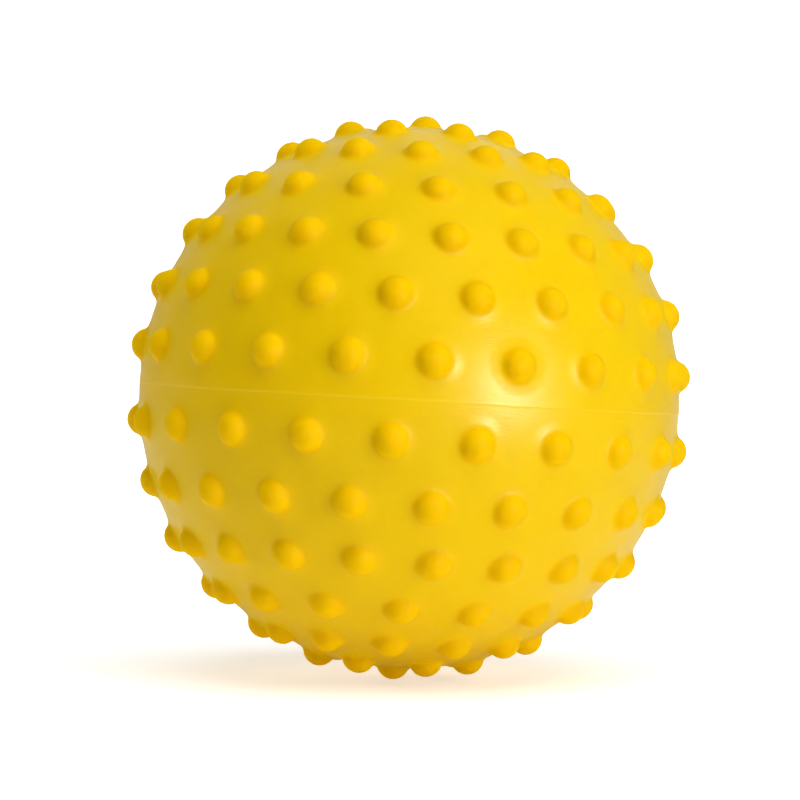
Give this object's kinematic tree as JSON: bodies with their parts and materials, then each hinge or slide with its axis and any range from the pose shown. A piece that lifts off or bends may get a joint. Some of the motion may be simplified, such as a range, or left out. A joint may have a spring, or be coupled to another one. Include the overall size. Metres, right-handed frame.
{
  "type": "sensory ball",
  "caption": "Hollow soft ball of two halves with round knobs all over, a raised seam round its middle and a plug valve at the back.",
  "frame": {"origin": "the centre of the ball, in the plane of its seam", "axes": "+Z through the knob on the pole of the upper half, -Y towards the front that the picture shows, +Y towards the side with the valve"},
  "size_m": [0.1766, 0.1763, 0.1782],
  "materials": {
    "skin": "satin",
    "valve": "satin",
    "plug": "satin"
  },
  "bodies": {
    "ball": {"upper_shell": "skin", "lower_shell": "skin", "valve_seat": "valve"},
    "plug": {"valve_plug": "plug"}
  },
  "joints": [
    {"name": "plug_pull", "type": "slide", "parent": "ball", "child": "plug", "axis": [-0.0761, 0.9759, 0.2045], "range_m": [0, 0.03]}
  ]
}
